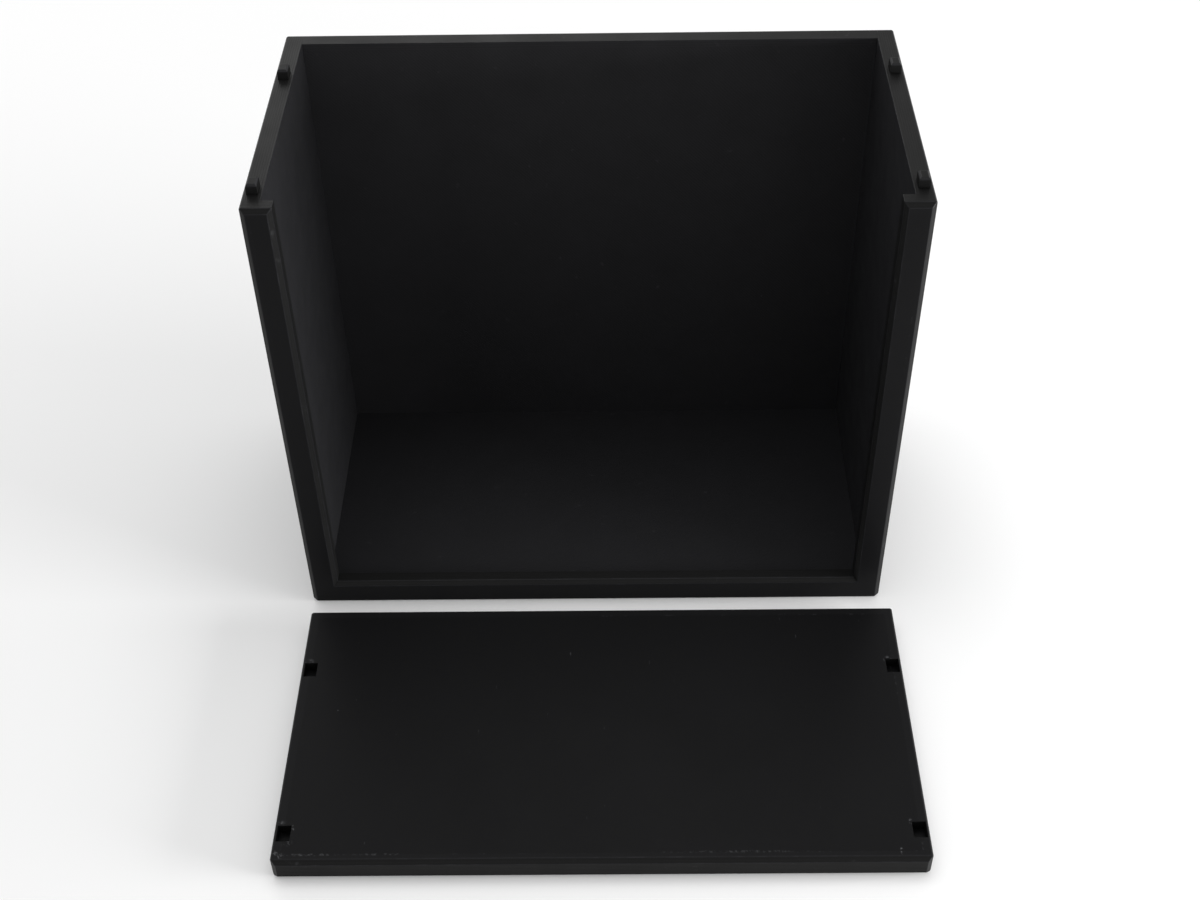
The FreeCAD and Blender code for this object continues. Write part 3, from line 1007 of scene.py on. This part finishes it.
@dataclass
class LidPegs:
    """Four square pegs in the rims of the side walls, one shape set down four times."""

    chamfer: float = 0.6 * MM
    eased: float = 0.15 * MM
    nodes: tuple[str, ...] = ("front_left_peg", "front_right_peg", "rear_left_peg", "rear_right_peg")

    def build(self) -> None:
        """Set the peg down at each place and round the edges of its tip."""
        boxes = [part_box(node) for node in self.nodes]
        size = boxes[0][1] - boxes[0][0]
        feet = [((low + high) / 2).to_2d().to_3d() + Vector((0.0, 0.0, low.z)) for low, high in boxes]
        skins = PlateFinishes("pegs", PlateOutline(Axis.Z, box_of(self.nodes[0]))).materials()
        values = {"Width": size.x, "Depth": size.y, "Height": size.z, "Chamfer": self.chamfer}
        row = grown("lid_pegs", self._tree(), feet, {**values, "Skin": skins[Skin.LAYERS.value]})
        mesh = PlainMesh(row.data, *self.nodes)
        bpy.data.objects.remove(row)
        mesh.paint(self._peg_rule)
        # Edges below the tip aren't rounded, and none is opened as a seam.
        tip = boxes[0][1].z - 2 * self.chamfer
        mesh.ease(self.eased, lambda edge: middle(edge).z < tip, lambda edge: True)
        stand_for(mesh.piece("lid_pegs", skins), Body.CASE, Slot.PRINTED, *self.nodes)

    @staticmethod
    def _peg_rule(normal: Vector) -> int:
        """Sloped faces show the steps of the last layers, the others stacked layers."""
        return (Skin.RASTER if EDGE_ON < normal.z < FACE_ON else Skin.LAYERS).value

    @staticmethod
    def _tree() -> Tree:
        """Build the tree that draws one peg and sets it on each point.

        Returns:
            The tree, with the peg's sizes as inputs.
        """
        tree = bpy.data.node_groups.new("lid_peg_row", "GeometryNodeTree")
        kinds = {"Geometry": "Geometry", "Skin": "Material"}
        for label in ("Geometry", "Width", "Depth", "Height", "Chamfer", "Skin"):
            kind = f"NodeSocket{kinds.get(label, 'Float')}"
            tree.interface.new_socket(label, in_out="INPUT", socket_type=kind)
        tree.interface.new_socket("Geometry", in_out="OUTPUT", socket_type="NodeSocketGeometry")
        start = add_node(tree, "NodeGroupInput").outputs
        chamfer = start["Chamfer"]
        # The shaft goes up from the foot, and the tip from the shaft.
        sides = {"Width": start["Width"], "Height": start["Depth"]}
        outline = add_node(tree, "GeometryNodeCurvePrimitiveQuadrilateral", sides).outputs[0]
        foot = add_node(tree, "GeometryNodeFillCurve", {"Curve": outline}, mode="NGONS").outputs[0]
        heights = {"Value": start["Height"], "Value_001": chamfer}
        rise = add_node(tree, "ShaderNodeMath", heights, operation="SUBTRACT").outputs[0]
        pull = {"Mesh": foot, "Offset Scale": rise, "Individual": False}
        shaft = add_node(tree, "GeometryNodeExtrudeMesh", pull).outputs
        pull = {**pull, "Mesh": shaft["Mesh"], "Selection": shaft["Top"], "Offset Scale": chamfer}
        tip = add_node(tree, "GeometryNodeExtrudeMesh", pull).outputs
        # The tip's top is narrower than the shaft by a chamfer on each side.
        shares: dict[str, object] = {"Z": 1.0}
        for axis, side in (("X", "Width"), ("Y", "Depth")):
            ratio = {"Value": chamfer, "Value_001": start[side]}
            part = add_node(tree, "ShaderNodeMath", ratio, operation="DIVIDE").outputs[0]
            rest = {"Value": part, "Value_001": -2.0, "Value_002": 1.0}
            shares[axis] = add_node(tree, "ShaderNodeMath", rest, operation="MULTIPLY_ADD").outputs[0]
        scale = add_node(tree, "ShaderNodeCombineXYZ", shares).outputs[0]
        place = add_node(tree, "GeometryNodeInputPosition").outputs[0]
        scaled = {"Vector": place, "Vector_001": scale}
        drawn_in = add_node(tree, "ShaderNodeVectorMath", scaled, operation="MULTIPLY").outputs[0]
        moved = {"Geometry": tip["Mesh"], "Selection": tip["Top"], "Position": drawn_in}
        tapered = add_node(tree, "GeometryNodeSetPosition", moved).outputs[0]
        under = add_node(tree, "GeometryNodeFlipFaces", {"Mesh": foot}).outputs[0]
        whole = add_node(tree, "GeometryNodeJoinGeometry", {"Geometry": under})
        tree.links.new(tapered, whole.inputs[0])
        merged = {"Geometry": whole.outputs[0], "Distance": MERGE}
        peg = add_node(tree, "GeometryNodeMergeByDistance", merged).outputs[0]
        row = {"Points": start["Geometry"], "Instance": peg}
        placed = add_node(tree, "GeometryNodeInstanceOnPoints", row).outputs[0]
        real = add_node(tree, "GeometryNodeRealizeInstances", {"Geometry": placed}).outputs[0]
        skin = {"Geometry": real, "Material": start["Skin"]}
        dressed = add_node(tree, "GeometryNodeSetMaterial", skin).outputs[0]
        add_node(tree, "NodeGroupOutput", {"Geometry": dressed})
        return tree


@dataclass
class LooseLid:
    """Lid plate that lies face down in front of the case, its peg pockets up."""

    eased: float = 0.2 * MM
    pocket_floor: float = 4.8 * MM
    pocket_half: Spot = (2.2 * MM, 2.9 * MM)
    pocket_off: float = 99 * MM
    pocket_rows: Spot = (-40.45 * MM, 25.05 * MM)

    def build(self) -> None:
        """Make the plate; the mouths of its pockets aren't rounded."""
        plate = box_of("lid")
        pockets = self._pockets(plate)
        mesh = PlainMesh(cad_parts["lid"].data, "lid")
        mesh.paint(plate_rule(Axis.Z, 1))

        def in_pocket(edge: Edge) -> bool:
            """An edge of a pocket."""
            spans = ([*zip(low, middle(edge), high)] for low, high in pockets)
            return any(all(low - TINY < at < high + TINY for low, at, high in span) for span in spans)

        count = mesh.ease(self.eased, in_pocket, lambda edge: False)
        log.info("lid: %d edges eased", count)
        outline = PlateOutline(Axis.Z, plate, pockets)
        skins = PlateFinishes("lid", outline, wear=1.0, scuffs=self._scuffs(plate, pockets))
        stand_for(mesh.piece("loose_lid", skins.materials()), Body.LID, Slot.PRINTED, "lid")

    def _pockets(self, plate: Box) -> tuple[Box, ...]:
        """Work out the boxes of the four pockets.

        Args:
            plate: the lid's box.

        Returns:
            The left pockets, then the right ones, each pair from front to rear.
        """
        (x0, y0, _), (x1, y1, top) = plate
        (half_x, half_y), found = self.pocket_half, []
        for side in (-1, 1):
            for row in self.pocket_rows:
                x, y = (x0 + x1) / 2 + side * self.pocket_off, (y0 + y1) / 2 + row
                found.append(((x - half_x, y - half_y, self.pocket_floor), (x + half_x, y + half_y, top)))
        return tuple(found)

    @staticmethod
    def _scuffs(plate: Box, pockets: tuple[Box, ...]) -> tuple[Scuff, ...]:
        """Place the rubbed marks of the front edge and the ragged pale plastic at the pockets' mouths.

        Args:
            plate: the lid's box.
            pockets: the pockets' boxes.

        Returns:
            The marks.
        """
        (left, front, _), (right, _, _) = plate
        left_end, right_end = (left, front), (right, front)
        mouths = (((low[0] + high[0]) / 2, (low[1] + high[1]) / 2) for low, high in pockets)
        front_left, rear_left, front_right, rear_right = mouths
        # What a mark is set off from, then its offset and its reach in millimetres, and its strength.
        marks = (
            (left_end, (1.8, 2.6), (2.6, 3.0), 0.3),
            (left_end, (12, 3.0), (11, 0.6), 0.2),
            (left_end, (34, 3.0), (12, 0.5), 0.12),
            (right_end, (-9.6, 3.1), (0.55, 1.5), 0.8),
            (right_end, (-60, 3.2), (30, 0.6), 0.12),
            (rear_left, (-0.9, 3.6), (2.2, 1.3), 0.24),
            (front_left, (-1.0, 3.6), (1.9, 1.4), 0.22),
            (front_left, (2.8, 1.9), (0.8, 1.9), 0.3),
            (front_left, (2.0, -3.6), (1.6, 1.3), 0.34),
            (rear_right, (-0.6, 3.5), (2.2, 1.1), 0.28),
            (front_right, (-2.5, 2.9), (0.7, 1.5), 0.4),
        )
        return tuple(
            Scuff((x + off_x * MM, y + off_y * MM), (reach_x * MM, reach_y * MM), strength)
            for (x, y), (off_x, off_y), (reach_x, reach_y), strength in marks
        )


@dataclass(frozen=True)
class Softbox:
    """A rectangular soft lamp: its place, aim, width and height in metres, and its power in watts."""

    name: str
    at: Point
    aim: Point
    size: Spot
    power: float

    def hang(self) -> None:
        """Add the lamp to the scene."""
        data = bpy.data.lights.new(self.name, "AREA")
        data.shape = "RECTANGLE"
        data.size, data.size_y = self.size
        data.energy = self.power
        lamp = bpy.data.objects.new(self.name, data)
        lamp.location = self.at
        way = Vector(self.aim) - Vector(self.at)
        lamp.rotation_euler = way.to_track_quat("-Z", "Y").to_euler()
        bpy.context.scene.collection.objects.link(lamp)


@dataclass
class Studio:
    """Floor, lamps, white surround and the camera."""

    camera_at: Point = (7.266 * MM, -450.58 * MM, 445.83 * MM)
    yaw: float = -0.0120
    pitch: float = 0.7502
    roll: float = -0.0167
    focal_pixels: float = 1652.35
    image_width: float = 1200.0
    sensor: float = 36.0
    clip_start: float = 0.01
    floor_reach: float = 6.0
    floor_level: float = -0.05 * MM
    ambient: float = 0.6
    lamps: tuple[Softbox, ...] = (
        Softbox("overhead_softbox", (-0.1, 0.28, 1.4), (0.0, -0.05, 0.0), (1.2, 0.7), 5.0),
        Softbox("back_left_softbox", (-0.45, 1.3, 0.86), (0.0, 0.0, 0.12), (1.1, 0.6), 4.6),
        Softbox("right_softbox", (0.9, -0.3, 0.15), (0.0, -0.06, 0.08), (0.5, 0.25), 14.0),
    )

    def build(self) -> None:
        """Set the stage."""
        self._floor()
        self._surround()
        for softbox in self.lamps:
            softbox.hang()
        self._camera()
        bpy.context.scene.view_settings.view_transform = "Standard"

    def _floor(self) -> None:
        """A wide pale plane just under the pieces."""
        data = bpy.data.meshes.new("floor")
        corners = ((-1, -1), (1, -1), (1, 1), (-1, 1))
        points = [(x * self.floor_reach, y * self.floor_reach, self.floor_level) for x, y in corners]
        data.from_pydata(points, [], [range(len(points))])
        data.materials.append(PaleFloor("pale_table_top").material())
        floor = bpy.data.objects.new("floor", data)
        bpy.context.scene.collection.objects.link(floor)

    def _surround(self) -> None:
        """White to look at, softer as light."""
        world = bpy.data.worlds.new("white_surround")
        world.use_nodes = True
        tree = world.node_tree
        tree.nodes.clear()
        level = Ramp(0.0, 1.0, least=self.ambient)
        strength = add_node(tree, "ShaderNodeMapRange", level.inputs(looked_at(tree))).outputs["Result"]
        white = add_node(tree, "ShaderNodeBackground", {"Color": linear("#ffffff"), "Strength": strength})
        add_node(tree, "ShaderNodeOutputWorld", {"Surface": white.outputs[0]})
        bpy.context.scene.world = world

    def _camera(self) -> None:
        """Place the camera where the picture was taken from."""
        data = bpy.data.cameras.new("camera")
        data.sensor_fit = "HORIZONTAL"
        data.sensor_width = self.sensor
        data.lens = self.focal_pixels / self.image_width * self.sensor
        data.clip_start = self.clip_start
        data.dof.use_dof = False
        turned = Matrix.Rotation(-self.yaw, 4, "Z")
        tilted = Matrix.Rotation(radians(90) - self.pitch, 4, "X")
        rolled = Matrix.Rotation(self.roll, 4, "Z")
        camera = bpy.data.objects.new("camera", data)
        camera.matrix_world = Matrix.Translation(self.camera_at) @ (turned @ tilted @ rolled)
        bpy.context.scene.collection.objects.link(camera)
        bpy.context.scene.camera = camera


def main() -> None:
    """Build the pieces and the stage in order."""
    logging.basicConfig(level=logging.INFO, format="%(name)s %(message)s")
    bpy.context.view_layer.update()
    for assembly in (CaseShell(), LidPegs(), LooseLid(), Studio()):
        assembly.build()
        log.info("%s done", type(assembly).__name__)
    bpy.context.view_layer.update()


if __name__ == "__main__":
    main()
